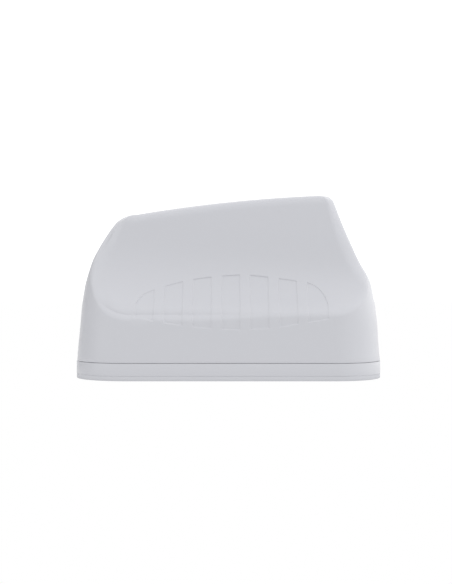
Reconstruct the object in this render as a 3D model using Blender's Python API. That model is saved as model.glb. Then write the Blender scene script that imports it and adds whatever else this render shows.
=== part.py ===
"""Low-profile multi-element vehicle roof antenna with a fin-shaped radome.

Frame: origin at the centre of the roof face, X along the length (low rounded nose at -X,
tall steep tail at +X), Y across, Z up. All lengths below are in millimetres.
"""

import math

import bmesh
import bpy

# ---- driving dimensions (mm) ----
GAP = 0.3
BASE_FRONT = -87.0
BASE_REAR = 87.0
BASE_HALF_WIDTH = 45.0
NOSE_LENGTH = 31.0
TAIL_LENGTH = 28.0
GASKET_TOP = 2.7
GASKET_INSET = 0.5
TRAY_BOTTOM = GASKET_TOP + GAP
TRAY_FLOOR = 6.0
TRAY_TOP = 9.6
RADOME_BOTTOM = 10.0
WALL = 2.6
RADOME_HALF_WIDTH = 44.6
TOP_FILLET = 6.0
CROWN = 0.8
CAP_FRONT = -50.4
CAP_REAR = 53.0
RIDGE_MIDDLE = 100.45
FAN_NOSE = -52.5
FAN_TAIL = 56.0
NOSE_TURNS = (13.0, 25.0, 36.0, 46.0, 54.0, 62.0, 69.0, 76.0, 83.0)
TAIL_TURNS = (14.0, 26.0, 36.0, 45.0, 54.0, 62.0, 69.0, 75.0, 82.0)
STRETCH = 0.0026
WALL_LEAN = 4.0
SWEEP_AT_41 = 37.6
VALLEY_DEPTH = 2.5
VALLEY_WIDTH = 2.1
SHOULDER_ROUND = 2.2
GILL_DEPTH = 0.7
GILL_EDGE = 0.12
GILL_LEFT = (-51.5, -35.6, -19.8, -3.8, 12.0, 28.1, 44.0)
GILL_RIGHT = (-41.4, -25.5, -9.6, 6.3, 22.2, 38.2, 55.0)
GROUND_BOTTOM = 9.2
GROUND_TOP = 10.2
HUB_RADIUS = 12.0
HUB_BORE = 8.5
SCREW_RADIUS = 1.4
BOSS_RADIUS = 4.2
BOSS_BOTTOM = 13.0
BOSS_TOP = 28.0
BOSS_SPOTS = ((-80.6, 0.0), (80.6, 0.0), (-30.4, 38.6), (-30.4, -38.6), (33.4, 38.6), (33.4, -38.6))
POST_SPOTS = ((-62.0, 20.0), (-62.0, -20.0), (62.0, 20.0), (62.0, -20.0))
CLIP_SPOTS = (-56.0, -24.0, 24.0, 52.0)
BOARD_BOTTOM = 12.6
VENT_SPOT = (44.0, 24.0)

# centre-line profiles, height against X: lower wall and upper face, at the nose and at the tail
WALL_NOSE = ((9.6, -86.75), (18.0, -86.1), (27.2, -85.2), (41.0, -84.0), (50.2, -82.7), (56.0, -81.7),
             (66.0, -79.8))
WALL_TAIL = ((9.6, 86.85), (18.0, 86.1), (27.2, 85.5), (34.1, 85.0), (43.3, 83.7), (54.0, 81.5), (64.0, 79.3))
FACE_NOSE = ((45.0, -87.2), (57.1, -81.5), (61.7, -79.4), (66.3, -77.4), (70.9, -75.1), (75.5, -72.65),
             (80.1, -69.9), (84.7, -66.9), (87.0, -65.2), (90.0, -62.6))
FACE_TAIL = ((45.0, 91.0), (54.8, 82.2), (57.1, 80.2), (59.4, 78.4), (64.0, 75.4), (68.6, 73.1), (73.2, 71.0),
             (77.8, 69.0), (82.4, 67.0), (87.0, 65.1), (91.6, 63.3), (96.2, 61.6), (100.9, 59.9), (104.0, 58.8))
# side height against height on the nose and tail centre lines
NOSE_RISE = ((10.0, 10.0), (34.0, 54.5), (37.0, 57.0), (41.0, 59.5), (73.0, 78.0), (88.2, 87.0))
TAIL_RISE = ((10.0, 10.0), (34.0, 53.5), (37.0, 56.0), (41.0, 58.5), (73.0, 83.0), (98.0, 100.6))
# height against plan length of the rounded nose and tail, and against the corner rounding of the upper faces
WALL_NOSE_ROUND = ((9.6, 30.8), (34.0, 30.0), (60.0, 28.0))
WALL_TAIL_ROUND = ((9.6, 27.8), (34.0, 26.5), (60.0, 24.0))
NOSE_CORNER = ((45.0, 9.0), (73.0, 10.0), (98.0, 10.0))
TAIL_CORNER = ((45.0, 8.5), (73.0, 8.5), (98.0, 7.5))
# lean of the swept upper side from the vertical, in degrees, against height
SWEEP_LEAN = ((30.0, 50.0), (41.0, 53.0), (45.0, 51.0), (50.0, 42.0), (56.0, 30.5), (62.0, 20.0), (68.0, 12.0),
              (73.0, 8.0), (80.0, 6.0), (110.0, 6.0))
GILL_FLOOR_LINE = ((-58.0, 33.0), (-51.0, 35.0), (-42.0, 32.9), (-35.0, 31.9), (-26.0, 30.7),
                   (-15.0, 29.3), (5.0, 28.3), (25.0, 29.4), (38.0, 31.3), (44.5, 32.4), (56.0, 34.2))
GILL_ROOF_LINE = ((-58.0, 44.0), (-51.6, 42.2), (-50.0, 44.8), (-47.0, 47.6), (-42.0, 49.9), (-34.5, 52.3),
                  (-26.0, 54.6), (-18.5, 56.1), (-10.0, 57.2), (0.0, 58.1), (8.0, 58.4), (16.0, 57.9),
                  (24.0, 57.0), (32.0, 55.9), (40.0, 54.7), (45.0, 53.8), (48.5, 52.2), (51.4, 49.7),
                  (53.8, 46.1), (55.4, 41.6), (60.0, 41.0))


for item in list(bpy.data.objects):
    bpy.data.objects.remove(item, do_unlink=True)


def curve(points):
    """Monotone cubic through the points, straight beyond both ends."""
    xs = [p[0] for p in points]
    ys = [p[1] for p in points]
    n = len(xs)
    step = [(ys[i + 1] - ys[i]) / (xs[i + 1] - xs[i]) for i in range(n - 1)]
    slope = [step[0]]
    for i in range(1, n - 1):
        if step[i - 1] * step[i] <= 0.0:
            slope.append(0.0)
        else:
            w1 = 2.0 * (xs[i + 1] - xs[i]) + (xs[i] - xs[i - 1])
            w2 = (xs[i + 1] - xs[i]) + 2.0 * (xs[i] - xs[i - 1])
            slope.append((w1 + w2) / (w1 / step[i - 1] + w2 / step[i]))
    slope.append(step[-1])

    def value(x):
        if x <= xs[0]:
            return ys[0] + slope[0] * (x - xs[0])
        if x >= xs[-1]:
            return ys[-1] + slope[-1] * (x - xs[-1])
        i = 0
        while x > xs[i + 1]:
            i += 1
        h = xs[i + 1] - xs[i]
        t = (x - xs[i]) / h
        a = (1.0 + 2.0 * t) * (1.0 - t) ** 2
        b = t * (1.0 - t) ** 2
        c = t * t * (3.0 - 2.0 * t)
        d = t * t * (t - 1.0)
        return a * ys[i] + b * h * slope[i] + c * ys[i + 1] + d * h * slope[i + 1]

    return value


def smooth(low, high, x):
    """0 below low, 1 above high, eased between."""
    t = min(1.0, max(0.0, (x - low) / (high - low)))
    return t * t * (3.0 - 2.0 * t)


def run_in(lean_points):
    """How far the swept side has moved inward at each height, from its lean."""
    lean = curve(lean_points)
    table = []
    moved = 0.0
    z = 20.0
    while z < 114.0:
        table.append((z, moved))
        moved += math.tan(math.radians(lean(z + 0.1))) * 0.2
        z += 0.2
    return table


WALL_NOSE_X = curve(WALL_NOSE)
WALL_TAIL_X = curve(WALL_TAIL)
FACE_NOSE_X = curve(FACE_NOSE)
FACE_TAIL_X = curve(FACE_TAIL)
NOSE_Z = curve(NOSE_RISE)
TAIL_Z = curve(TAIL_RISE)
WALL_NOSE_A = curve(WALL_NOSE_ROUND)
WALL_TAIL_A = curve(WALL_TAIL_ROUND)
NOSE_R = curve(NOSE_CORNER)
TAIL_R = curve(TAIL_CORNER)
GILL_FLOOR = curve(GILL_FLOOR_LINE)
GILL_ROOF = curve(GILL_ROOF_LINE)
SWEEP_RUN = run_in(SWEEP_LEAN)


def sweep_run(z):
    """Inward travel of the swept side from the start of its table."""
    place_in_table = min(len(SWEEP_RUN) - 1.001, (z - 20.0) / 0.2)
    if place_in_table < 0.0:
        return (z - 20.0) * math.tan(math.radians(SWEEP_LEAN[0][1]))
    i = int(place_in_table)
    t = place_in_table - i
    return SWEEP_RUN[i][1] * (1.0 - t) + SWEEP_RUN[i + 1][1] * t


def ridge(x):
    """Height of the top ridge line."""
    return RIDGE_MIDDLE + 0.104 * x - 0.000613 * x * x


def least(a, b, k):
    """Smaller of two reaches, with the edge between them rounded off."""
    h = max(k - abs(a - b), 0.0) / k
    return min(a, b) - h * h * k / 4.0


def wall_half(z):
    """Half width of the plain lower wall."""
    return RADOME_HALF_WIDTH - (z - RADOME_BOTTOM) * math.tan(math.radians(WALL_LEAN))


def sweep_half(x, z):
    """Half width of the swept upper side."""
    stretched = z
    if z > 41.0:
        stretched = 41.0 + (z - 41.0) * (1.0 + STRETCH * max(-70.0, min(60.0, x)))
    return SWEEP_AT_41 - sweep_run(stretched) + sweep_run(41.0)


def valley(x, inner):
    """Depth of the narrow valley that runs just above the shoulder line."""
    strength = smooth(-70.0, -60.0, x) * (1.0 - smooth(5.0, 42.0, x))
    return strength * VALLEY_DEPTH * math.exp(-(max(inner - 0.3, 0.0) / VALLEY_WIDTH) ** 2)


def half_width(x, z):
    """Half width of the radome beside its straight part at height z."""
    wall = wall_half(z)
    sweep = sweep_half(x, z)
    return least(wall, sweep - valley(x, wall - sweep), SHOULDER_ROUND)


def gill_mask(x, z):
    """1 inside a gill pocket, 0 outside."""
    found = 0.0
    for left, right in zip(GILL_LEFT, GILL_RIGHT):
        if left < x < right and GILL_FLOOR(x) < z < GILL_ROOF(x):
            found = 1.0
    return found


def side_columns(fine):
    """X of the columns along a straight side."""
    xs = [FAN_NOSE]
    for i, (left, right) in enumerate(zip(GILL_LEFT, GILL_RIGHT)):
        if not fine:
            xs += [left, right]
            continue
        xs += [left - GILL_EDGE, left + GILL_EDGE]
        inner = 1
        if i in (0, 6):
            inner = 4
        width = right - left
        for k in range(inner):
            xs.append(left + width * (k + 1) / (inner + 1))
        xs += [right - GILL_EDGE, right + GILL_EDGE]
    xs.append(FAN_TAIL)
    return xs


def columns(fine):
    """(kind, value, side) for each column around the radome, nose first, then the +Y side, tail, -Y side."""
    front = [math.radians(a) for a in NOSE_TURNS]
    steps = [math.radians(a) for a in TAIL_TURNS]
    side = side_columns(fine)
    half = [("nose", a) for a in front] + [("side", x) for x in side] + [("tail", a) for a in reversed(steps)]
    around = [("nose", 0.0, 0.0)]
    around += [(kind, value, 1.0) for kind, value in half]
    around.append(("tail", 0.0, 0.0))
    around += [(kind, value, -1.0) for kind, value in reversed(half)]
    return around


def tail_centre(z):
    """X of the fan centre of the tail, led forward up the fin."""
    return FAN_TAIL - 6.0 * smooth(58.0, 76.0, z)


def wall_reach(c, s, off, length, half):
    """Distance from a fan centre to the straight side and the half ellipse that starts at -off."""
    if s > 1e-6 and off + half / s * c < 0.0:
        return half / s
    qa = (c / length) ** 2 + (s / half) ** 2
    qb = off * c / length ** 2
    qc = (off / length) ** 2 - 1.0
    return (-qb + math.sqrt(max(qb * qb - qa * qc, 0.0))) / qa


def end_reach(turn, z, sign, inset):
    """Distance from the fan centre to the skin; turn is 0 along X and a quarter turn along Y."""
    c = math.cos(turn)
    s = math.sin(turn)
    if sign < 0.0:
        centre = -FAN_NOSE
        corner = NOSE_R(z)
        length = WALL_NOSE_A(z)
        end = -WALL_NOSE_X(z)
        face = -FACE_NOSE_X(z) - inset - centre
    else:
        centre = tail_centre(z)
        corner = TAIL_R(z)
        length = WALL_TAIL_A(z)
        end = WALL_TAIL_X(z)
        face = FACE_TAIL_X(z) - inset - centre
    wall = wall_reach(c, s, centre - (end - length), length - inset, wall_half(z) - inset)
    face = min(face / max(c, 1e-6), 400.0)
    if s < 1e-6:
        return least(wall, face, 2.5)
    x = sign * (centre + min(wall, face) * c)
    swept = sweep_half(x, z) - inset
    swept -= valley(x, wall * s - swept)
    upper = least(min(swept, 400.0) / s, face, corner * 1.7)
    return least(wall, upper, SHOULDER_ROUND)


def spot(column, z, inset, gills):
    """Point of the radome skin on a column; z is the height the column's ring has on the straight side."""
    kind, value, side = column
    if kind == "side":
        x = value
        if value > 45.0:
            x = 45.0 + (value - 45.0) / (FAN_TAIL - 45.0) * (tail_centre(z) - 45.0)
        y = half_width(x, z) - inset
        if gills:
            y -= GILL_DEPTH * gill_mask(x, z)
        return x, side * y, z
    if kind == "nose":
        up = z + (NOSE_Z(z) - z) * math.cos(value) ** 2
        reach = end_reach(value, up, -1.0, inset)
        return FAN_NOSE - reach * math.cos(value), side * reach * math.sin(value), up
    up = z + (TAIL_Z(z) - z) * math.cos(value) ** 2.6
    reach = end_reach(value, up, 1.0, inset)
    return tail_centre(up) + reach * math.cos(value), side * reach * math.sin(value), up


def heights(column, rows, inset):
    """Ring heights on one column, pushed apart round the gill edges."""
    kind, value, side = column
    x = value
    if kind == "nose":
        x = -58.0
    if kind == "tail":
        x = 60.0
    roof = ridge(max(-52.0, min(52.0, x))) - TOP_FILLET - inset * 0.6
    low = GILL_FLOOR(max(-58.0, min(56.0, x)))
    high = GILL_ROOF(max(-58.0, min(60.0, x)))
    marks = []
    for row in rows:
        if row == "low":
            marks += [low - GILL_EDGE, low + GILL_EDGE]
        elif row == "high":
            marks += [high - GILL_EDGE, high + GILL_EDGE]
        elif row > 60.0:
            marks.append(60.0 + (row - 60.0) / 40.0 * (roof - 60.0))
        else:
            marks.append(row)
    for i in range(1, len(marks)):
        marks[i] = max(marks[i], marks[i - 1] + 0.24)
    if "high" in rows:
        top = high + GILL_EDGE
        spot_of_top = marks.index(max(m for m in marks if m <= max(top, marks[0]) + 0.001))
        for i in range(spot_of_top - 1, -1, -1):
            marks[i] = min(marks[i], marks[i + 1] - 0.24)
    return marks


def skin(bm, rows, inset, fine, flip):
    """Add one closed-top skin of the radome; returns its bottom loop."""
    around = columns(fine)
    grid = []
    for column in around:
        line = [spot(column, z, inset, fine) for z in heights(column, rows, inset)]
        base = line[-1]
        before = line[-2]
        rise_all = max(0.2, base[2] - before[2])
        kind, value, side = column
        x_end = base[0]
        if base[0] < 0.0:
            x_end = base[0] * CAP_FRONT / FAN_NOSE
        if kind == "nose":
            x_end = CAP_FRONT - 1.6 * math.cos(value) ** 2
        if kind == "tail":
            x_end = CAP_REAR - 2.2 * math.sin(value) ** 2
        y_end = base[1] * (1.0 - 5.6 / max(5.7, abs(half_width(0.0, 90.0) - inset)))
        z_end = ridge(x_end) - CROWN * (abs(y_end) / 12.0) - inset
        reach = max(0.0, z_end - base[2]) / rise_all
        ctrl_x = base[0] + (base[0] - before[0]) * reach
        ctrl_y = base[1] + (base[1] - before[1]) * reach
        for t in (0.3, 0.62, 1.0):
            a = (1.0 - t) ** 2
            b = 2.0 * t * (1.0 - t)
            c = t * t
            line.append((a * base[0] + b * ctrl_x + c * x_end,
                         a * base[1] + b * ctrl_y + c * y_end,
                         a * base[2] + (b + c) * z_end))
        x_spine = x_end
        line.append((x_end, y_end * 0.5, ridge(x_end) - inset - CROWN * (abs(y_end) / 24.0) ** 2))
        grid.append([bm.verts.new([c * 0.001 for c in p]) for p in line])
    count = len(grid)
    spine = {}
    for j, column in enumerate(around):
        edge = grid[j][-1]
        key = round(edge.co.x, 7)
        if key not in spine:
            x = edge.co.x * 1000.0
            spine[key] = bm.verts.new((edge.co.x, 0.0, (ridge(x) - inset) * 0.001))
        grid[j].append(spine[key])
    for j in range(count):
        k = (j + 1) % count
        for i in range(len(grid[j]) - 1):
            corners = [grid[j][i], grid[k][i], grid[k][i + 1], grid[j][i + 1]]
            kept = []
            for v in corners:
                if v not in kept:
                    kept.append(v)
            if len(kept) < 3:
                continue
            if flip:
                kept.reverse()
            bm.faces.new(kept)
    return [line[0] for line in grid], around


def place(column):
    """Order of a column around the skin, from 0 to 4."""
    kind, value, side = column
    turn = 2.0 * value / math.pi
    if kind == "nose":
        part = turn * 0.5
    elif kind == "side":
        part = 0.5 + (value - FAN_NOSE) / (FAN_TAIL - FAN_NOSE)
    else:
        part = 1.5 + (1.0 - turn) * 0.5
    if side >= 0.0:
        return part
    return 4.0 - part


def stitch(bm, outer, outer_columns, inner, inner_columns):
    """Close the ring between two bottom loops."""
    i = 0
    j = 0
    n = len(outer)
    m = len(inner)
    a = [place(c) for c in outer_columns] + [4.0]
    b = [place(c) for c in inner_columns] + [4.0]
    while i < n or j < m:
        if j >= m or (i < n and a[i + 1] <= b[j + 1]):
            bm.faces.new((outer[(i + 1) % n], outer[i % n], inner[j % m]))
            i += 1
        else:
            bm.faces.new((outer[i % n], inner[j % m], inner[(j + 1) % m]))
            j += 1


def material(name, colour, rough, metal):
    made = bpy.data.materials.new(name)
    made.use_nodes = True
    shader = made.node_tree.nodes["Principled BSDF"]
    shader.inputs["Base Color"].default_value = (*colour, 1.0)
    shader.inputs["Roughness"].default_value = rough
    shader.inputs["Metallic"].default_value = metal
    return made


def finish(name, bm, colour, rough=0.5, metal=0.0, smooth_faces=False):
    """Turn the bmesh into a named object with its own material."""
    bmesh.ops.recalc_face_normals(bm, faces=bm.faces)
    mesh = bpy.data.meshes.new(name)
    bm.to_mesh(mesh)
    bm.free()
    thing = bpy.data.objects.new(name, mesh)
    bpy.context.collection.objects.link(thing)
    mesh.materials.append(material(name + "_finish", colour, rough, metal))
    if smooth_faces:
        for face in mesh.polygons:
            face.use_smooth = True
    return thing


def outline(inset, end=10):
    """Plan loop of the base: straight sides with elliptical nose and tail."""
    nose = NOSE_LENGTH - inset
    tail = TAIL_LENGTH - inset
    width = BASE_HALF_WIDTH - inset
    loop = []
    for k in range(-end, end + 1):
        a = math.pi / 2 * k / end
        loop.append((BASE_REAR - TAIL_LENGTH + tail * math.cos(a), width * math.sin(a)))
    for k in range(-end, end + 1):
        a = math.pi / 2 * k / end
        loop.append((BASE_FRONT + NOSE_LENGTH - nose * math.cos(a), -width * math.sin(a)))
    return loop


def add_prism(bm, loop, z0, z1):
    """Add a closed prism on a plan loop."""
    low = [bm.verts.new((x * 0.001, y * 0.001, z0 * 0.001)) for x, y in loop]
    high = [bm.verts.new((x * 0.001, y * 0.001, z1 * 0.001)) for x, y in loop]
    n = len(loop)
    bm.faces.new(list(reversed(low)))
    bm.faces.new(high)
    for i in range(n):
        j = (i + 1) % n
        bm.faces.new((low[i], low[j], high[j], high[i]))


def add_ring(bm, outer, inner, z0, z1):
    """Add a closed ring between two plan loops of equal count."""
    n = len(outer)
    rows = []
    for loop, z in ((outer, z0), (outer, z1), (inner, z1), (inner, z0)):
        rows.append([bm.verts.new((x * 0.001, y * 0.001, z * 0.001)) for x, y in loop])
    for r in range(4):
        a = rows[r]
        b = rows[(r + 1) % 4]
        for i in range(n):
            j = (i + 1) % n
            bm.faces.new((a[i], a[j], b[j], b[i]))


def circle(x, y, radius, count=24, turn=0.0):
    """Plan loop of a circle or regular polygon."""
    return [(x + radius * math.cos(turn + 2 * math.pi * k / count),
             y + radius * math.sin(turn + 2 * math.pi * k / count)) for k in range(count)]


def box(x0, x1, y0, y1):
    """Plan loop of a rectangle."""
    return [(x0, y0), (x1, y0), (x1, y1), (x0, y1)]


def add_upright(bm, loop, y0, y1):
    """Add a plate standing in the XZ plane from a loop of (x, z)."""
    low = [bm.verts.new((x * 0.001, y0 * 0.001, z * 0.001)) for x, z in loop]
    high = [bm.verts.new((x * 0.001, y1 * 0.001, z * 0.001)) for x, z in loop]
    n = len(loop)
    bm.faces.new(low)
    bm.faces.new(list(reversed(high)))
    for i in range(n):
        j = (i + 1) % n
        bm.faces.new((low[j], low[i], high[i], high[j]))


def cutter(name, loops):
    """Hidden tool object made of prisms: (loop, z0, z1)."""
    bm = bmesh.new()
    for loop, z0, z1 in loops:
        add_prism(bm, loop, z0, z1)
    thing = finish(name, bm, (0.5, 0.5, 0.5))
    thing.hide_render = True
    thing.display_type = "WIRE"
    return thing


def combine(target, tool, operation):
    """Apply an exact Boolean and drop the tool."""
    step = target.modifiers.new("step", "BOOLEAN")
    step.operation = operation
    step.solver = "EXACT"
    step.use_self = True
    step.object = tool
    bpy.context.view_layer.objects.active = target
    bpy.ops.object.modifier_apply(modifier="step")
    bpy.data.objects.remove(tool, do_unlink=True)


# ---- radome: thin shell with gill pockets, open below, with six screw bosses ----
OUTER_ROWS = [RADOME_BOTTOM, 20.0, "low", 34.2, 35.6, 36.7, 38.2, 41.0, 45.0, 50.0, "high", 66.0, 78.0, 88.0, 100.0]
INNER_ROWS = [RADOME_BOTTOM, 33.0, 40.0, 48.0, 58.0, 74.0, 100.0]
shell = bmesh.new()
outer_loop, outer_around = skin(shell, OUTER_ROWS, 0.0, True, False)
inner_loop, inner_around = skin(shell, INNER_ROWS, WALL, False, True)
stitch(shell, outer_loop, outer_around, inner_loop, inner_around)
radome = finish("radome", shell, (0.60, 0.61, 0.64), 0.45, 0.0, True)
posts = []
for x, y in BOSS_SPOTS:
    posts.append((circle(x, y, BOSS_RADIUS, 16), BOSS_BOTTOM, BOSS_TOP))
combine(radome, cutter("boss_tool", posts), "UNION")
pilots = [(circle(x, y, SCREW_RADIUS + GAP, 12), RADOME_BOTTOM - 1.0, 24.0) for x, y in BOSS_SPOTS]
combine(radome, cutter("pilot_tool", pilots), "DIFFERENCE")

# ---- base tray: floor, rim with locating lip, posts for the ground plate ----
bm = bmesh.new()
add_prism(bm, outline(0.0), TRAY_BOTTOM, TRAY_TOP)
tray = finish("base_tray", bm, (0.58, 0.59, 0.62), 0.5)
combine(tray, cutter("pocket_tool", [(outline(12.0), TRAY_FLOOR, TRAY_TOP + 5.0)]), "DIFFERENCE")
lip = bmesh.new()
add_ring(lip, outline(5.0), outline(7.0), TRAY_TOP - 2.0, TRAY_TOP + 3.6)
combine(tray, finish("lip_tool", lip, (0.5, 0.5, 0.5)), "UNION")
stands = [(circle(x, y, 3.2, 16), TRAY_FLOOR - 1.0, GROUND_BOTTOM - GAP) for x, y in POST_SPOTS]
combine(tray, cutter("stand_tool", stands), "UNION")
cuts = [(circle(0.0, 0.0, HUB_RADIUS + GAP, 32), 0.0, 12.0)]
for x, y in BOSS_SPOTS:
    cuts.append((circle(x, y, BOSS_RADIUS + 0.5, 20), BOSS_BOTTOM - GAP, 20.0))
    cuts.append((circle(x, y, SCREW_RADIUS + GAP, 12), 0.0, TRAY_TOP + 6.0))
for x, y in POST_SPOTS:
    cuts.append((circle(x, y, 1.25 + GAP, 12), TRAY_FLOOR - 1.0, 12.0))
cuts.append((circle(*VENT_SPOT, 3.0 + GAP, 20), 0.0, 12.0))
combine(tray, cutter("tray_holes", cuts), "DIFFERENCE")
recess = [(circle(x, y, 3.3, 20), 0.0, TRAY_BOTTOM + 3.0) for x, y in BOSS_SPOTS]
recess.append((circle(*VENT_SPOT, 4.3, 20), 0.0, TRAY_BOTTOM + 1.3))
combine(tray, cutter("tray_recess", recess), "DIFFERENCE")

# ---- foam roof gasket with openings for the hub, the screw heads and the vent ----
bm = bmesh.new()
add_prism(bm, outline(GASKET_INSET), 0.0, GASKET_TOP)
gasket = finish("roof_gasket", bm, (0.55, 0.56, 0.59), 0.9)
holes = [(circle(0.0, 0.0, 19.0, 40), -1.0, 4.0)]
holes += [(circle(x, y, 4.0, 20), -1.0, 4.0) for x, y in BOSS_SPOTS]
holes.append((circle(*VENT_SPOT, 5.0, 20), -1.0, 4.0))
combine(gasket, cutter("gasket_holes", holes), "DIFFERENCE")

# ---- sealing cord between tray lip and radome wall ----
bm = bmesh.new()
add_ring(bm, outline(3.5), outline(4.7), TRAY_TOP + GAP, TRAY_TOP + 1.9)
seal = finish("radome_seal", bm, (0.02, 0.02, 0.02), 0.8)

# ---- ground plate ----
bm = bmesh.new()
add_prism(bm, outline(13.0), GROUND_BOTTOM, GROUND_TOP)
plate = finish("ground_plane", bm, (0.75, 0.76, 0.78), 0.35, 1.0)
holes = [(circle(0.0, 0.0, 15.0, 32), 5.0, 14.0)]
holes += [(circle(x, y, 1.25 + GAP, 12), 5.0, 14.0) for x, y in POST_SPOTS]
combine(plate, cutter("plate_holes", holes), "DIFFERENCE")

# ---- hollow hub, its sealing washer, its nut and the grommet in its bore ----
bm = bmesh.new()
add_ring(bm, circle(0, 0, HUB_RADIUS, 32), circle(0, 0, HUB_BORE, 32), 1.2, 12.4)
hub = finish("cable_hub", bm, (0.72, 0.70, 0.64), 0.35, 1.0, False)
bm = bmesh.new()
add_ring(bm, circle(0, 0, 17.5, 32), circle(0, 0, HUB_RADIUS - 1.0, 32), 0.6, 1.8)
combine(hub, finish("flange_tool", bm, (0.5, 0.5, 0.5)), "UNION")
bm = bmesh.new()
add_ring(bm, circle(0, 0, 17.0, 32), circle(0, 0, HUB_RADIUS + GAP, 32), 2.1, 2.7)
finish("hub_washer", bm, (0.03, 0.03, 0.03), 0.8)
bm = bmesh.new()
add_prism(bm, circle(0, 0, 14.7, 6), TRAY_FLOOR + GAP, TRAY_FLOOR + 4.6)
nut = finish("hub_nut", bm, (0.70, 0.68, 0.62), 0.35, 1.0)
combine(nut, cutter("nut_bore", [(circle(0, 0, HUB_RADIUS + GAP, 32), 0.0, 20.0)]), "DIFFERENCE")
bm = bmesh.new()
add_ring(bm, circle(0, 0, HUB_BORE - GAP, 32), circle(0, 0, 6.4, 32), 1.0, 12.4)
grommet = finish("cable_grommet", bm, (0.02, 0.02, 0.02), 0.7)

# ---- upright element boards in the fin, their copper and their clips ----
BOARDS = (
    ("front_board", ((-60.0, BOARD_BOTTOM), (-18.0, BOARD_BOTTOM), (-18.0, 84.0), (-50.0, 82.0), (-60.0, 74.0),
                     (-68.0, 56.0), (-68.0, 30.0))),
    ("rear_board", ((20.0, BOARD_BOTTOM), (56.0, BOARD_BOTTOM), (66.0, 34.0), (64.0, 58.0), (52.0, 94.0),
                    (20.0, 92.0))),
)
COPPER = (
    ("front_element", ((-40.0, 16.0), (-36.0, 16.0), (-34.0, 30.0), (-22.0, 44.0), (-22.0, 80.0), (-49.0, 78.0),
                       (-57.0, 71.0), (-64.0, 54.0), (-54.0, 44.0), (-42.0, 30.0))),
    ("rear_element", ((36.0, 16.0), (40.0, 16.0), (42.0, 30.0), (58.0, 46.0), (60.0, 58.0), (49.0, 90.0),
                      (24.0, 88.0), (24.0, 46.0), (34.0, 30.0))),
)
for name, loop in BOARDS:
    bm = bmesh.new()
    add_upright(bm, loop, -0.5, 0.5)
    finish(name, bm, (0.03, 0.16, 0.07), 0.5)
for name, loop in COPPER:
    bm = bmesh.new()
    add_upright(bm, loop, -1.0, -0.8)
    finish(name, bm, (0.85, 0.50, 0.30), 0.35, 1.0)

clip_bores = []
for index, x in enumerate(CLIP_SPOTS):
    bm = bmesh.new()
    add_prism(bm, box(x - 3.0, x + 3.0, -4.0, 9.0), GROUND_TOP + GAP, BOARD_BOTTOM - GAP)
    clip = finish("board_clip_" + str(index + 1), bm, (0.85, 0.85, 0.83), 0.5)
    jaws = [(box(x - 3.0, x + 3.0, 1.3, 4.0), GROUND_TOP + 0.8, 18.0)]
    jaws.append((box(x - 3.0, x + 3.0, -4.0, -1.3), GROUND_TOP + 0.8, 18.0))
    combine(clip, cutter("jaw_tool", jaws), "UNION")
    bore = (circle(x, 6.6, 1.0 + GAP, 10), 5.0, 15.0)
    combine(clip, cutter("clip_bore", [bore]), "DIFFERENCE")
    clip_bores.append(bore)
combine(plate, cutter("clip_plate_bores", clip_bores), "DIFFERENCE")


def add_screw(bm, x, y, seat, head_radius, head_height, radius, length, down):
    """Add a pan-head screw as one solid; the shaft runs down or up from the seat."""
    way = -1.0 if down else 1.0
    profile = ((0.0, -head_height), (head_radius * 0.8, -head_height), (head_radius, -head_height * 0.55),
               (head_radius, 0.0), (radius, 0.0), (radius, length - 0.6), (radius * 0.6, length))
    count = 12
    rings = []
    for r, z in profile[1:]:
        rings.append([bm.verts.new(((x + r * math.cos(2 * math.pi * k / count)) * 0.001,
                                    (y + r * math.sin(2 * math.pi * k / count)) * 0.001,
                                    (seat + way * z) * 0.001)) for k in range(count)])
    bm.faces.new(rings[0])
    bm.faces.new(rings[-1])
    for a, b in zip(rings, rings[1:]):
        for k in range(count):
            n = (k + 1) % count
            bm.faces.new((a[k], a[n], b[n], b[k]))


def screw_set(name, spots, seat, sizes, down):
    """One screw object for each spot."""
    for number, (x, y) in enumerate(spots):
        bm = bmesh.new()
        add_screw(bm, x, y, seat, *sizes, down)
        finish(name + "_" + str(number + 1), bm, (0.72, 0.72, 0.74), 0.3, 1.0)


screw_set("radome_screw", BOSS_SPOTS, TRAY_BOTTOM + 2.7, (2.9, 2.0, SCREW_RADIUS, 15.0), False)
screw_set("plate_screw", POST_SPOTS, GROUND_TOP + GAP, (2.6, 1.6, 1.25, 3.6), True)
screw_set("clip_screw", [(x, 6.6) for x in CLIP_SPOTS], BOARD_BOTTOM, (2.0, 1.3, 1.0, 4.6), True)

# ---- low side boards with their copper, each on a foot ----
for name, side in (("left", 1.0), ("right", -1.0)):
    bm = bmesh.new()
    add_upright(bm, ((-22.0, BOARD_BOTTOM), (22.0, BOARD_BOTTOM), (22.0, 34.0), (18.0, 38.0), (-18.0, 38.0),
                     (-22.0, 34.0)), side * 27.0 - 0.5, side * 27.0 + 0.5)
    finish("wifi_board_" + name, bm, (0.03, 0.16, 0.07), 0.5)
    bm = bmesh.new()
    add_upright(bm, ((-3.0, 15.0), (3.0, 15.0), (3.0, 22.0), (18.0, 22.0), (18.0, 35.0), (-18.0, 35.0),
                     (-18.0, 22.0), (-3.0, 22.0)), side * 27.9 - 0.1, side * 27.9 + 0.1)
    finish("wifi_element_" + name, bm, (0.85, 0.50, 0.30), 0.35, 1.0)
    bm = bmesh.new()
    add_prism(bm, box(-20.0, 20.0, side * 27.0 - 3.0, side * 27.0 + 3.0), GROUND_TOP + GAP, 17.0)
    foot = finish("wifi_foot_" + name, bm, (0.85, 0.85, 0.83), 0.5)
    slot = [(box(-23.0, 23.0, side * 27.0 - 0.5 - GAP, side * 27.0 + 0.5 + GAP), BOARD_BOTTOM - GAP, 30.0)]
    slot.append((box(-5.0, 5.0, side * 27.0 + side * 2.0 - 2.0, side * 27.0 + side * 2.0 + 2.0), 14.0, 30.0))
    combine(foot, cutter("foot_slot", slot), "DIFFERENCE")

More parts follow.
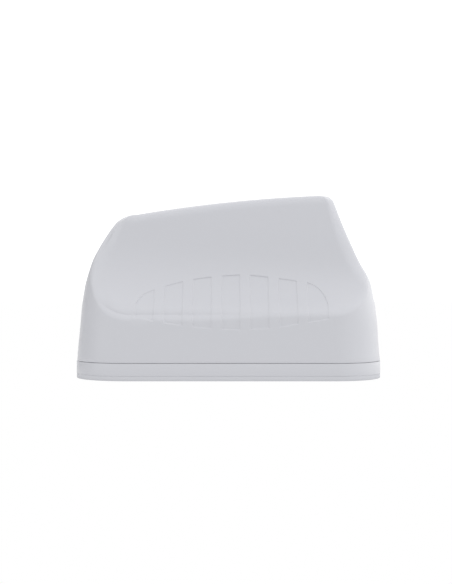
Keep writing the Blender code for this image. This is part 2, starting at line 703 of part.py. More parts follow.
# ---- satellite positioning stack: spacers, board, shield, ceramic patch, electrode ----
PATCH_X = -44.0
PATCH_Y = 22.5
for number, (dx, dy) in enumerate(((-11.0, -8.0), (11.0, -8.0), (11.0, 8.0), (-11.0, 8.0))):
    bm = bmesh.new()
    add_prism(bm, circle(PATCH_X + dx, PATCH_Y + dy, 2.0, 12), GROUND_TOP + GAP, 16.0)
    finish("gnss_spacer_" + str(number + 1), bm, (0.80, 0.66, 0.35), 0.35, 1.0)
bm = bmesh.new()
add_prism(bm, box(PATCH_X - 14.0, PATCH_X + 14.0, PATCH_Y - 11.0, PATCH_Y + 11.0), 16.3, 17.3)
finish("gnss_board", bm, (0.03, 0.16, 0.07), 0.5)
bm = bmesh.new()
add_prism(bm, box(PATCH_X - 8.0, PATCH_X + 8.0, PATCH_Y - 5.5, PATCH_Y + 5.5), 13.0, 16.0)
shield = finish("gnss_shield", bm, (0.75, 0.76, 0.78), 0.3, 1.0)
open_side = [(box(PATCH_X - 7.7, PATCH_X + 7.7, PATCH_Y - 5.2, PATCH_Y + 5.2), 13.3, 17.0)]
combine(shield, cutter("shield_hollow", open_side), "DIFFERENCE")
bm = bmesh.new()
add_prism(bm, box(PATCH_X - 9.0, PATCH_X + 9.0, PATCH_Y - 9.0, PATCH_Y + 9.0), 17.6, 21.6)
finish("gnss_patch", bm, (0.72, 0.66, 0.55), 0.6)
bm = bmesh.new()
add_prism(bm, box(PATCH_X - 8.0, PATCH_X + 8.0, PATCH_Y - 7.0, PATCH_Y + 8.0), 21.9, 22.1)
finish("gnss_electrode", bm, (0.90, 0.89, 0.86), 0.3, 1.0)

# ---- coaxial feed connectors on the boards ----
for name, x in (("front", -38.0), ("rear", 38.0)):
    bm = bmesh.new()
    add_upright(bm, [(x + 2.6 * math.cos(math.pi * k / 8), 15.6 + 2.6 * math.sin(math.pi * k / 8))
                     for k in range(16)], 0.8, 4.8)
    finish("feed_connector_" + name, bm, (0.83, 0.68, 0.33), 0.3, 1.0)

# ---- breathing vent in the tray floor ----
bm = bmesh.new()
add_prism(bm, circle(*VENT_SPOT, 4.0, 20), TRAY_BOTTOM, TRAY_BOTTOM + 1.0)
vent = finish("vent_plug", bm, (0.05, 0.05, 0.05), 0.6)
combine(vent, cutter("vent_stem", [(circle(*VENT_SPOT, 3.0, 20), TRAY_BOTTOM + 0.5, 8.0)]), "UNION")
combine(vent, cutter("vent_bore", [(circle(*VENT_SPOT, 1.2, 12), 0.0, 12.0)]), "DIFFERENCE")
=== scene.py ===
import math

import bmesh
import bpy
import numpy as np
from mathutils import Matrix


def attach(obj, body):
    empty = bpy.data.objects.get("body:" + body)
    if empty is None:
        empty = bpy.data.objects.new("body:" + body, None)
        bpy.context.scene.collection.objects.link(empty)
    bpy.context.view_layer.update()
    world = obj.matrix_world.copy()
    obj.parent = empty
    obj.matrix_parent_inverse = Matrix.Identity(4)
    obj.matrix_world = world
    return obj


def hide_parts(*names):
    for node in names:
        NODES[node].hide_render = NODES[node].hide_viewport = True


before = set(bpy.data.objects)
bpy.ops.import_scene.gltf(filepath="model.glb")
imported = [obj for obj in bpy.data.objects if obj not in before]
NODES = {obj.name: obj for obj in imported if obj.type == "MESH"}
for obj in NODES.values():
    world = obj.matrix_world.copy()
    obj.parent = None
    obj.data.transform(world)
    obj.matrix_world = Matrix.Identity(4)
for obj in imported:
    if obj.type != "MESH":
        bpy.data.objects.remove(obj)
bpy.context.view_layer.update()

# ---- sizes, millimetres unless said otherwise ----
MM = 0.001
BASE_FRONT, BASE_REAR, BASE_HALF = -87.0, 87.0, 45.0
NOSE_LENGTH, TAIL_LENGTH = 31.0, 28.0
RADOME_BOTTOM, RADOME_HALF, WALL = 9.81, 44.7, 2.6
TOP_FILLET, CROWN = 6.0, 0.8
# spine height at the middle, its slope, and its bend per millimetre
RIDGE_MIDDLE, RIDGE_SLOPE, RIDGE_BEND = 100.45, 0.104, 0.000613
TRAY_BOTTOM, TRAY_FLOOR, TRAY_TOP = 2.71, 6.0, 9.65
GASKET_TOP, GASKET_INSET = 2.7, 0.08
# growth of the sweep's height scale with X, within a span of X
STRETCH, STRETCH_SPAN = 0.0026, (-70.0, 60.0)
GILL_DEPTH, GILL_SOFT = 0.5, 0.42
GILL_STEPS = (-1.3, -1.0, -0.6, -0.25, 0.25, 0.6, 1.0, 1.3)
GILLS = ((-51.5, -41.4), (-35.6, -25.5), (-19.8, -9.6), (-3.8, 6.3),
         (12.0, 22.2), (28.1, 38.2), (44.0, 55.0))
# X of the fan centres at nose and tail; the tail centre moves forward over a span of heights
FAN_NOSE, FAN_TAIL = -52.5, 56.0
TAIL_SHIFT, TAIL_SHIFT_SPAN, BEND_FROM = 6.0, (58.0, 76.0), 45.0
NOSE_RISE_POWER, TAIL_RISE_POWER = 2, 2.6
# X of the ends of the top, and how far they bow
CAP_FRONT, CAP_REAR, CAP_FRONT_BOW, CAP_REAR_BOW = -50.4, 53.0, 1.6, 2.2
CAP_HALF, CAP_ROUND, CAP_LEVEL, CAP_REACH = 12.0, 5.6, 90.0, 52.0
CAP_STEPS = (0.85, 0.7, 0.5, 0.3, 0.15)
NO_LIMIT, TINY = 400.0, 1e-6
# ring heights of the plain case at the gill edges and at the top
LOW_ROW, HIGH_ROW, TOP_ROW = 30.0, 57.0, 100.0
ROUGH_ROWS = (10.6, 20.0, 30.0, 33.0, 36.0, 39.0, 43.0, 48.0, 54.0, 62.0, 74.0, 87.0, 100.0)
EDGE = 0.15
EDGE_TURNS, EDGE_SLANT = (0.0, 25.0, 50.0, 72.0), 0.3
# round holes and posts of the tray and the gasket
PLAY, ABOVE_FLOOR = 0.3, 12.0
HUB_RADIUS, HUB_WINDOW = 12.0, 19.0
SCREW_RADIUS, HEAD_RADIUS, HEAD_DEPTH, HEAD_WINDOW = 1.4, 3.3, 3.0, 4.0
POST_RADIUS, POST_BORE, POST_TOP = 3.2, 1.55, 9.0
VENT_HEAD, VENT_STEM, VENT_DEPTH, VENT_WINDOW = 4.3, 3.3, 1.3, 5.0
BOSS_RADIUS, BOSS_BOTTOM = 4.2, 13.0
BOSS_SPOTS = ((-80.6, 0.0), (80.6, 0.0), (-30.4, 38.6), (-30.4, -38.6), (33.4, 38.6), (33.4, -38.6))
POST_SPOTS = ((-62.0, 20.0), (-62.0, -20.0), (62.0, 20.0), (62.0, -20.0))
VENT_SPOT = (44.0, 24.0)

# centre-line profiles, X against height: lower wall and upper face, at the nose and at the tail
WALL_NOSE = ((9.6, -86.75), (18.0, -86.1), (27.2, -85.2), (41.0, -84.0), (50.2, -82.7),
             (56.0, -81.7), (66.0, -79.8))
WALL_TAIL = ((9.6, 86.85), (18.0, 86.1), (27.2, 85.5), (34.1, 85.0), (43.3, 83.7),
             (54.0, 81.5), (64.0, 79.3))
FACE_NOSE = ((45.0, -87.2), (57.1, -81.5), (61.7, -79.4), (66.3, -77.4), (70.9, -75.1), (75.5, -72.65),
             (80.1, -69.9), (84.7, -66.9), (87.0, -65.2), (90.0, -62.6))
FACE_TAIL = ((45.0, 91.0), (54.8, 82.2), (57.1, 80.2), (59.4, 78.4), (64.0, 75.4), (68.6, 73.1),
             (73.2, 71.0), (77.8, 69.0), (82.4, 67.0), (87.0, 65.1), (91.6, 63.3), (96.2, 61.6), (100.9, 59.9),
             (104.0, 58.8))
# height on the nose and tail centre lines against the height at the side
NOSE_RISE = ((9.6, 9.6), (34.0, 54.5), (37.0, 57.0), (41.0, 59.5), (73.0, 78.0), (88.2, 87.0))
TAIL_RISE = ((9.6, 9.6), (34.0, 53.5), (37.0, 56.0), (41.0, 58.5), (73.0, 83.0), (98.0, 100.6))
# length of the half ellipse of the lower wall, and rounding of the upper corners, against height
WALL_NOSE_ROUND = ((9.6, 30.8), (34.0, 30.0), (60.0, 28.0))
WALL_TAIL_ROUND = ((9.6, 27.8), (34.0, 26.5), (60.0, 24.0))
NOSE_CORNER = ((45.0, 9.0), (73.0, 10.0), (98.0, 10.0))
TAIL_CORNER = ((45.0, 8.5), (73.0, 8.5), (98.0, 7.5))
# lean of the swept side from the vertical, in degrees, against height
SWEEP_LEAN = ((30.0, 50.0), (41.0, 53.0), (45.0, 51.0), (50.0, 42.0), (56.0, 30.5), (62.0, 20.0),
              (68.0, 12.0), (73.0, 8.0), (80.0, 6.0), (110.0, 6.0))
# the sweep's half width is given at its base height; the wall's lean is in degrees
SWEEP_BASE, SWEEP_HALF, WALL_LEAN = 41.0, 37.6, 4.0
SHOULDER_ROUND, FACE_ROUND, CORNER_SPREAD = 2.6, 2.5, 1.7
# the hollow above the shoulder line: depth, extent inward, and the X spans where it comes and goes
VALLEY_DEPTH, VALLEY_WIDTH, VALLEY_START = 3.1, 6.8, -0.9
VALLEY_COMES, VALLEY_GOES = (-78.0, -66.0), (-22.0, 42.0)
# lower and upper edge of the gill pockets, height against X
GILL_FLOOR_LINE = ((-58.0, 33.0), (-51.0, 35.0), (-42.0, 32.9), (-35.0, 31.9), (-26.0, 30.7),
                   (-15.0, 29.3), (5.0, 28.3), (25.0, 29.4), (38.0, 31.3), (44.5, 32.4), (56.0, 34.2))
GILL_ROOF_LINE = ((-58.0, 44.0), (-51.6, 42.2), (-50.0, 44.8), (-47.0, 47.6), (-42.0, 49.9), (-34.5, 52.3),
                  (-26.0, 54.6), (-18.5, 56.1), (-10.0, 57.2), (0.0, 58.1), (8.0, 58.4), (16.0, 57.9),
                  (24.0, 57.0), (32.0, 55.9), (40.0, 54.7), (45.0, 53.8), (48.5, 52.2), (51.4, 49.7),
                  (53.8, 46.1), (55.4, 41.6), (60.0, 41.0))


def curve(points):
    """Monotone cubic through the points, straight beyond both ends; takes numbers or arrays."""
    xs = np.array([p[0] for p in points])
    ys = np.array([p[1] for p in points])
    gap = np.diff(xs)
    step = np.diff(ys) / gap
    slope = np.zeros(len(xs))
    slope[0], slope[-1] = step[0], step[-1]
    for i in range(1, len(xs) - 1):
        if step[i - 1] * step[i] > 0.0:
            w1 = 2.0 * gap[i] + gap[i - 1]
            w2 = gap[i] + 2.0 * gap[i - 1]
            slope[i] = (w1 + w2) / (w1 / step[i - 1] + w2 / step[i])

    def value(x):
        x = np.asarray(x, float)
        i = np.clip(np.searchsorted(xs, x) - 1, 0, len(xs) - 2)
        h = gap[i]
        t = np.clip((x - xs[i]) / h, 0.0, 1.0)
        y = (1 + 2 * t) * (1 - t) ** 2 * ys[i] + t * (1 - t) ** 2 * h * slope[i]
        y = y + t * t * (3 - 2 * t) * ys[i + 1] + t * t * (t - 1) * h * slope[i + 1]
        y = np.where(x < xs[0], ys[0] + slope[0] * (x - xs[0]), y)
        return np.where(x > xs[-1], ys[-1] + slope[-1] * (x - xs[-1]), y)

    return value


def smooth(low, high, x):
    """Eased step from 0 at low to 1 at high."""
    t = np.clip((np.asarray(x, float) - low) / (high - low), 0.0, 1.0)
    return t * t * (3.0 - 2.0 * t)


def run_in(lean_points):
    """Inward travel of the swept side from its base height, summed in steps of 0.05."""
    z = np.arange(20.0, 112.0, 0.05)
    lean = np.tan(np.radians(curve(lean_points)(z)))
    moved = np.concatenate([[0.0], np.cumsum((lean[1:] + lean[:-1]) * 0.025)])
    moved -= np.interp(SWEEP_BASE, z, moved)
    return lambda h: np.interp(h, z, moved)


WALL_NOSE_X, WALL_TAIL_X = curve(WALL_NOSE), curve(WALL_TAIL)
FACE_NOSE_X, FACE_TAIL_X = curve(FACE_NOSE), curve(FACE_TAIL)
NOSE_Z, TAIL_Z = curve(NOSE_RISE), curve(TAIL_RISE)
WALL_NOSE_A, WALL_TAIL_A = curve(WALL_NOSE_ROUND), curve(WALL_TAIL_ROUND)
NOSE_R, TAIL_R = curve(NOSE_CORNER), curve(TAIL_CORNER)
GILL_FLOOR, GILL_ROOF = curve(GILL_FLOOR_LINE), curve(GILL_ROOF_LINE)
SWEEP_RUN = run_in(SWEEP_LEAN)


def ridge(x):
    """Height of the spine along the top."""
    return RIDGE_MIDDLE + RIDGE_SLOPE * x - RIDGE_BEND * x * x


def least(a, b, k):
    """Smaller of two reaches, with the edge between them rounded off."""
    h = np.maximum(k - np.abs(a - b), 0.0) / k
    return np.minimum(a, b) - h * h * k / 4.0


def wall_half(z):
    """Half width of the lower wall."""
    return RADOME_HALF - (z - RADOME_BOTTOM) * math.tan(math.radians(WALL_LEAN))


def sweep_half(x, z):
    """Half width of the swept upper side."""
    grow = 1.0 + STRETCH * np.clip(x, *STRETCH_SPAN)
    scaled = np.where(z > SWEEP_BASE, SWEEP_BASE + (z - SWEEP_BASE) * grow, z)
    return SWEEP_HALF - SWEEP_RUN(scaled)


def valley(x, inner):
    """Depth of the one-sided hollow that ends in a crease just above the shoulder line."""
    strength = smooth(*VALLEY_COMES, x) * (1.0 - smooth(*VALLEY_GOES, x))
    shelf = np.clip((inner - VALLEY_START) / VALLEY_WIDTH, 0.0, 1.0)
    return strength * VALLEY_DEPTH * (1.0 - shelf) ** 2


def half_width(x, z):
    """Half width beside the straight part of the outline."""
    wall, sweep = wall_half(z), sweep_half(x, z)
    return least(wall, sweep - valley(x, wall - sweep), SHOULDER_ROUND)


def gill_mask(x, z):
    """Eased 0 to 1 inside the gill pockets."""
    across = np.zeros_like(np.asarray(x, float))
    for left, right in GILLS:
        across = np.maximum(across, smooth(left - GILL_SOFT, left + GILL_SOFT, x)
                            * (1.0 - smooth(right - GILL_SOFT, right + GILL_SOFT, x)))
    low, high = GILL_FLOOR(x), GILL_ROOF(x)
    above = smooth(low - GILL_SOFT, low + GILL_SOFT, z)
    return across * (above * (1.0 - smooth(high - GILL_SOFT, high + GILL_SOFT, z)))


def side_columns(fine):
    """X of the columns between the fans, closer together at the gill edges."""
    if not fine:
        return np.linspace(FAN_NOSE, FAN_TAIL, 36)
    marks = list(np.linspace(FAN_NOSE, FAN_TAIL, 110))
    for edge in [e for pair in GILLS for e in pair]:
        marks = [m for m in marks if abs(m - edge) > 0.6]
        marks += [edge + s * GILL_SOFT for s in GILL_STEPS]
    return np.array(sorted(marks))


def columns(fine):
    """(kind, turn or X, side) for each column round the radome from the nose."""
    end = 64 if fine else 14
    steps = [math.pi / 2 * k / end for k in range(1, end)]
    half = [("nose", a) for a in steps]
    half += [("side", x) for x in side_columns(fine)]
    half += [("tail", a) for a in reversed(steps)]
    around = [("nose", 0.0, 0.0)] + [(k, v, 1.0) for k, v in half]
    around.append(("tail", 0.0, 0.0))
    return around + [(k, v, -1.0) for k, v in reversed(half)]


def tail_centre(z):
    return FAN_TAIL - TAIL_SHIFT * smooth(*TAIL_SHIFT_SPAN, z)


def end_reach(turn, z, sign, inset):
    """Distance from the fan centre to the skin; turn is 0 along X and a quarter turn along Y."""
    c, s = math.cos(turn), math.sin(turn)
    half = wall_half(z) - inset
    if sign < 0.0:
        centre, length, corner = -FAN_NOSE, WALL_NOSE_A(z) - inset, NOSE_R(z)
        wall_end, face_end = -WALL_NOSE_X(z) - inset, -FACE_NOSE_X(z) - inset
    else:
        centre, length, corner = tail_centre(z), WALL_TAIL_A(z) - inset, TAIL_R(z)
        wall_end, face_end = WALL_TAIL_X(z) - inset, FACE_TAIL_X(z) - inset
    off = centre - (wall_end - length)
    qa = (c / length) ** 2 + (s / half) ** 2
    qb = off * c / length ** 2
    qc = (off / length) ** 2 - 1.0
    wall = (-qb + np.sqrt(np.maximum(qb * qb - qa * qc, 0.0))) / qa
    if s > TINY:
        wall = np.where(off + half / s * c < 0.0, half / s, wall)
    face = np.minimum((face_end - centre) / max(c, TINY), NO_LIMIT)
    if s < TINY:
        return least(wall, face, FACE_ROUND)
    x = sign * (centre + np.minimum(wall, face) * c)
    swept = sweep_half(x, z) - inset
    swept = swept - valley(x, wall * s - swept)
    swept = np.minimum(swept, NO_LIMIT) / s
    upper = least(swept, face, corner * CORNER_SPREAD)
    return least(wall, upper, SHOULDER_ROUND)


def spots(column, z, inset, fine):
    """Skin points of one column for an array of side heights."""
    kind, value, side = column
    if kind == "side":
        x = np.full_like(z, value)
        if value > BEND_FROM:
            share = (value - BEND_FROM) / (FAN_TAIL - BEND_FROM)
            x = BEND_FROM + share * (tail_centre(z) - BEND_FROM)
        y = half_width(x, z) - inset
        if fine:
            y = y - GILL_DEPTH * gill_mask(x, z)
        return np.stack([x, side * y, z], 1)
    if kind == "nose":
        up = z + (NOSE_Z(z) - z) * math.cos(value) ** NOSE_RISE_POWER
        reach = end_reach(value, up, -1.0, inset)
        x = FAN_NOSE - reach * math.cos(value)
    else:
        up = z + (TAIL_Z(z) - z) * math.cos(value) ** TAIL_RISE_POWER
        reach = end_reach(value, up, 1.0, inset)
        x = tail_centre(up) + reach * math.cos(value)
    return np.stack([x, side * reach * math.sin(value), up], 1)


def row_parameters(fine):
    """Ring heights in the plain case, before they are led round the gill edges."""
    if not fine:
        return np.array(ROUGH_ROWS)
    cluster = np.array(GILL_STEPS) * GILL_SOFT
    return np.concatenate([np.linspace(RADOME_BOTTOM + EDGE, 29.0, 12), LOW_ROW + cluster,
                           np.linspace(30.9, 56.1, 53), HIGH_ROW + cluster,
                           np.linspace(58.0, TOP_ROW, 35)])


def held(x, low, high):
    return min(high, max(low, x))


def heights(column, rows, inset, fine):
    """Side heights of one column: the rows led along the gill edges and up to the top."""
    kind, x, _ = column
    if kind == "nose":
        x = GILL_ROOF_LINE[0][0]
    if kind == "tail":
        x = GILL_ROOF_LINE[-1][0]
    roof = ridge(held(x, -CAP_REACH, CAP_REACH)) - TOP_FILLET - inset * 0.6
    low, high = LOW_ROW, HIGH_ROW
    if fine:
        low = float(GILL_FLOOR(held(x, GILL_FLOOR_LINE[0][0], GILL_FLOOR_LINE[-1][0])))
        high = float(GILL_ROOF(held(x, GILL_ROOF_LINE[0][0], GILL_ROOF_LINE[-1][0])))
    band = 1.4 * GILL_SOFT
    plain_rows = [RADOME_BOTTOM, LOW_ROW - band, LOW_ROW + band, HIGH_ROW - band, HIGH_ROW + band, TOP_ROW]
    led_rows = [RADOME_BOTTOM, low - band, low + band, high - band, high + band, roof]
    return np.interp(rows, plain_rows, led_rows)


def rounded_edge(column):
    """Points of the small rounding at the lower edge of one column."""
    foot = spots(column, np.array([RADOME_BOTTOM + EDGE]), 0.0, True)[0]
    reach = math.hypot(foot[0] * EDGE_SLANT, foot[1]) or 1.0
    points = []
    for turn in EDGE_TURNS:
        a = math.radians(turn)
        inward = EDGE * (1.0 - math.sin(a))
        points.append([foot[0] - inward * foot[0] * EDGE_SLANT / reach, foot[1] - inward * foot[1] / reach,
                       RADOME_BOTTOM + EDGE * (1.0 - math.cos(a))])
    return np.array(points)


def top_points(column, base, before, inset, fine):
    """Rounded corner and half of the crowned top, from the last side point inward."""
    kind, value, _ = column
    x_end = base[0]
    if base[0] < 0.0:
        x_end = base[0] * CAP_FRONT / FAN_NOSE
    if kind == "nose":
        x_end = CAP_FRONT - CAP_FRONT_BOW * math.cos(value) ** 2
    if kind == "tail":
        x_end = CAP_REAR - CAP_REAR_BOW * math.sin(value) ** 2
    top_half = float(half_width(0.0, np.array(CAP_LEVEL))) - inset
    y_end = base[1] * (1.0 - CAP_ROUND / max(CAP_ROUND + 0.1, top_half))
    z_end = ridge(x_end) - CROWN * abs(y_end) / CAP_HALF - inset
    pull = max(0.0, z_end - base[2]) / max(0.05, base[2] - before[2])
    ctrl = base + (base - before) * pull
    ctrl[2] = z_end
    goal = np.array([x_end, y_end, z_end])
    steps = np.linspace(0.0, 1.0, 15 if fine else 4)[1:]
    points = [(1 - t) ** 2 * base + 2 * t * (1 - t) * ctrl + t * t * goal for t in steps]
    for share in CAP_STEPS if fine else (0.5,):
        crowned = ridge(x_end) - inset - CROWN * abs(y_end) / CAP_HALF * share * share
        points.append(np.array([x_end, y_end * share, crowned]))
    return np.array(points)


def skin(inset, fine):
    """Rings of points: grid[column][row], ending on the spine along the top."""
    around = columns(fine)
    rows = row_parameters(fine)
    grid = []
    for column in around:
        line = spots(column, heights(column, rows, inset, fine), inset, fine)
        if fine:
            line = np.concatenate([rounded_edge(column), line])
        top = top_points(column, line[-1], line[-2], inset, fine)
        grid.append(np.concatenate([line, top]))
    return grid, around


def add_skin(bm, grid, inset, flip):
    """Mesh the rings with one spine along the top; returns the bottom loop."""
    verts = [[bm.verts.new(p * MM) for p in line] for line in grid]
    spine = {}
    for line in verts:
        x = line[-1].co.x
        key = round(x, 7)
        if key not in spine:
            spine[key] = bm.verts.new((x, 0.0, (ridge(x / MM) - inset) * MM))
        line.append(spine[key])
    for j, line in enumerate(verts):
        other = verts[(j + 1) % len(verts)]
        for i in range(len(line) - 1):
            kept = []
            for v in (line[i], other[i], other[i + 1], line[i + 1]):
                if v not in kept:
                    kept.append(v)
            if len(kept) > 2:
                if flip:
                    kept.reverse()
                bm.faces.new(kept)
    return [line[0] for line in verts]


def place(column):
    """How far round the plan a column lies: 0 at the nose, 2 at the tail, 4 at the nose again."""
    kind, value, side = column
    turn = 2.0 * value / math.pi
    part = turn * 0.5
    if kind == "side":
        part = 0.5 + (value - FAN_NOSE) / (FAN_TAIL - FAN_NOSE)
    if kind == "tail":
        part = 1.5 + (1.0 - turn) * 0.5
    return part if side >= 0.0 else 4.0 - part


def stitch(bm, outer, outer_columns, inner, inner_columns):
    """Close the lower rim between the outer and the inner loop."""
    a = [place(c) for c in outer_columns] + [4.0]
    b = [place(c) for c in inner_columns] + [4.0]
    i = j = 0
    n, m = len(outer), len(inner)
    while i < n or j < m:
        if j >= m or (i < n and a[i + 1] <= b[j + 1]):
            bm.faces.new((outer[(i + 1) % n], outer[i % n], inner[j % m]))
            i += 1
        else:
            bm.faces.new((outer[i % n], inner[j % m], inner[(j + 1) % m]))
            j += 1


def finish(name, bm, looks, shade=40.0):
    """Object from the mesh under construction; shade is the sharp-edge angle in degrees."""
    bmesh.ops.recalc_face_normals(bm, faces=bm.faces)
    mesh = bpy.data.meshes.new(name)
    bm.to_mesh(mesh)
    bm.free()
    made = bpy.data.objects.new(name, mesh)
    bpy.context.collection.objects.link(made)
    if looks:
        mesh.materials.append(looks)
    for face in mesh.polygons:
        face.use_smooth = True
    if shade:
        mesh.set_sharp_from_angle(angle=math.radians(shade))
    return made


def outline(inset, end=48):
    """Plan loop of the base: straight sides with elliptical nose and tail."""
    nose, tail, width = NOSE_LENGTH - inset, TAIL_LENGTH - inset, BASE_HALF - inset
    turns = [math.pi / 2 * k / end for k in range(-end, end + 1)]
    loop = [(BASE_REAR - TAIL_LENGTH + tail * math.cos(a), width * math.sin(a)) for a in turns]
    return loop + [(BASE_FRONT + NOSE_LENGTH - nose * math.cos(a), -width * math.sin(a)) for a in turns]


def loft(bm, rows):
    """Closed body through stacked loops, with flat first and last faces."""
    rings = [[bm.verts.new((x * MM, y * MM, z * MM)) for x, y in loop] for loop, z in rows]
    bm.faces.new(list(reversed(rings[0])))
    bm.faces.new(rings[-1])
    n = len(rings[0])
    for a, b in zip(rings, rings[1:]):
        for i in range(n):
            j = (i + 1) % n
            bm.faces.new((a[i], a[j], b[j], b[i]))


def circle(x, y, radius, count=48):
    turns = [2 * math.pi * k / count for k in range(count)]
    return [(x + radius * math.cos(a), y + radius * math.sin(a)) for a in turns]


def combine(target, tools, operation):
    """Exact Boolean with a set of (loop, bottom, top) prisms."""
    bm = bmesh.new()
    for loop, bottom, top in tools:
        loft(bm, [(loop, bottom), (loop, top)])
    tool = finish(target.name + "_tool", bm, None, 0.0)
    step = target.modifiers.new("step", "BOOLEAN")
    step.operation = operation
    step.solver = "EXACT"
    step.object = tool
    bpy.context.view_layer.objects.active = target
    bpy.ops.object.modifier_apply(modifier="step")
    bpy.data.objects.remove(tool, do_unlink=True)


# ---- looks ----
ROUGH_SPREAD, CLOUD_SCALE, BUMP_DISTANCE = 0.06, 22.0, 0.0002


def looks(name, colour, rough, metal=0.0, grain=900.0, bump=0.06, tint=0.02, spec=0.5):
    """Principled material with fine procedural grain in colour, roughness and height."""
    made = bpy.data.materials.new(name)
    made.use_nodes = True
    tree = made.node_tree
    shader = tree.nodes["Principled BSDF"]
    lighter = [min(1.0, c * (1.0 + tint)) for c in colour]
    darker = [c * (1.0 - tint) for c in colour]
    shader.inputs["Metallic"].default_value = metal
    shader.inputs["Specular IOR Level"].default_value = spec
    where = tree.nodes.new("ShaderNodeTexCoord")
    fine = tree.nodes.new("ShaderNodeTexNoise")
    fine.inputs["Scale"].default_value = grain
    fine.inputs["Detail"].default_value = 6.0
    wide = tree.nodes.new("ShaderNodeTexNoise")
    wide.inputs["Scale"].default_value = CLOUD_SCALE
    wide.inputs["Detail"].default_value = 3.0
    tree.links.new(where.outputs["Object"], fine.inputs["Vector"])
    tree.links.new(where.outputs["Object"], wide.inputs["Vector"])
    ramp = tree.nodes.new("ShaderNodeMix")
    ramp.data_type = "RGBA"
    ramp.inputs["A"].default_value = (*darker, 1.0)
    ramp.inputs["B"].default_value = (*lighter, 1.0)
    tree.links.new(wide.outputs["Fac"], ramp.inputs["Factor"])
    tree.links.new(ramp.outputs["Result"], shader.inputs["Base Color"])
    rough_range = tree.nodes.new("ShaderNodeMapRange")
    rough_range.inputs["To Min"].default_value = max(0.05, rough - ROUGH_SPREAD)
    rough_range.inputs["To Max"].default_value = min(1.0, rough + ROUGH_SPREAD)
    tree.links.new(fine.outputs["Fac"], rough_range.inputs["Value"])
    tree.links.new(rough_range.outputs["Result"], shader.inputs["Roughness"])
    height = tree.nodes.new("ShaderNodeBump")
    height.inputs["Strength"].default_value = bump
    height.inputs["Distance"].default_value = BUMP_DISTANCE
    tree.links.new(fine.outputs["Fac"], height.inputs["Height"])
    tree.links.new(height.outputs["Normal"], shader.inputs["Normal"])
    return made


SHELL_GREY, FOAM_GREY = (0.444, 0.449, 0.477), (0.448, 0.453, 0.48)
shell_looks = looks("radome_plastic", SHELL_GREY, 0.35, grain=1400.0, bump=0.05, tint=0.004, spec=0.28)
tray_looks = looks("tray_plastic", SHELL_GREY, 0.35, grain=1400.0, bump=0.05, tint=0.004, spec=0.28)
foam_looks = looks("gasket_foam", FOAM_GREY, 0.8, grain=2200.0, bump=0.3, tint=0.01, spec=0.15)
rubber_looks = looks("black_rubber", (0.03, 0.03, 0.032), 0.65, grain=1800.0, bump=0.2)
cord_looks = looks("seal_rubber", (0.20, 0.20, 0.21), 0.7, grain=1800.0, bump=0.2)
plate_looks = looks("sheet_aluminium", (0.80, 0.81, 0.83), 0.38, 1.0, grain=500.0, bump=0.05, tint=0.03)
hub_looks = looks("plated_metal", (0.70, 0.69, 0.66), 0.32, 1.0, grain=700.0, bump=0.05, tint=0.03)
nylon_looks = looks("natural_nylon", (0.78, 0.77, 0.72), 0.5, grain=900.0, bump=0.08)
board_looks = looks("board_laminate", (0.02, 0.15, 0.06), 0.4, grain=1100.0, bump=0.12, tint=0.08)
copper_looks = looks("copper_foil", (0.80, 0.42, 0.26), 0.3, 1.0, grain=800.0, bump=0.05, tint=0.06)
gold_looks = looks("gold_plating", (0.84, 0.66, 0.32), 0.25, 1.0, grain=800.0, bump=0.04)
ceramic_looks = looks("fired_ceramic", (0.66, 0.58, 0.46), 0.6, grain=1500.0, bump=0.15, tint=0.04)
tin_looks = looks("tinned_metal", (0.80, 0.80, 0.78), 0.3, 1.0, grain=600.0, bump=0.05, tint=0.03)
zinc_looks = looks("zinc_plating", (0.68, 0.69, 0.71), 0.3, 1.0, grain=900.0, bump=0.06, tint=0.04)

# ---- radome ----
bm = bmesh.new()
outer_grid, outer_around = skin(0.0, True)
inner_grid, inner_around = skin(WALL, False)
outer_loop = add_skin(bm, outer_grid, 0.0, False)
inner_loop = add_skin(bm, inner_grid, WALL, True)
stitch(bm, outer_loop, outer_around, inner_loop, inner_around)
radome = finish("radome_shell", bm, shell_looks, 60.0)
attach(radome, "root")
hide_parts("radome")

# ---- base tray: outer band, rounded upper edge, raised lip, floor inside ----
LIP_OUTER, LIP_INNER, LIP_HEIGHT, LIP_EDGE = 5.0, 7.0, 3.6, 0.3
FLOOR_INSET, BOTTOM_EDGE = 12.0, 0.05
bm = bmesh.new()
loft(bm, [(outline(BOTTOM_EDGE), TRAY_BOTTOM),
          (outline(0.0), TRAY_BOTTOM + BOTTOM_EDGE),
          (outline(0.0), TRAY_TOP - EDGE),
          (outline(EDGE * 0.3), TRAY_TOP - EDGE * 0.3),
          (outline(EDGE), TRAY_TOP),
          (outline(LIP_OUTER), TRAY_TOP),
          (outline(LIP_OUTER), TRAY_TOP + LIP_HEIGHT - LIP_EDGE),
          (outline(LIP_OUTER + LIP_EDGE), TRAY_TOP + LIP_HEIGHT),
          (outline(LIP_INNER - LIP_EDGE), TRAY_TOP + LIP_HEIGHT),
          (outline(LIP_INNER), TRAY_TOP + LIP_HEIGHT - LIP_EDGE),
          (outline(LIP_INNER), TRAY_TOP),
          (outline(FLOOR_INSET), TRAY_TOP),
          (outline(FLOOR_INSET), TRAY_FLOOR)])
tray = finish("base_tray_body", bm, tray_looks, 35.0)
posts = [(circle(x, y, POST_RADIUS), TRAY_FLOOR - 1.0, POST_TOP) for x, y in POST_SPOTS]
combine(tray, posts, "UNION")
wide_cuts = [(circle(0.0, 0.0, HUB_RADIUS + PLAY, 64), 0.0, ABOVE_FLOOR)]
for x, y in BOSS_SPOTS:
    wide_cuts.append((circle(x, y, HEAD_RADIUS), 0.0, TRAY_BOTTOM + HEAD_DEPTH))
    wide_cuts.append((circle(x, y, BOSS_RADIUS + 0.5), BOSS_BOTTOM - PLAY, 20.0))
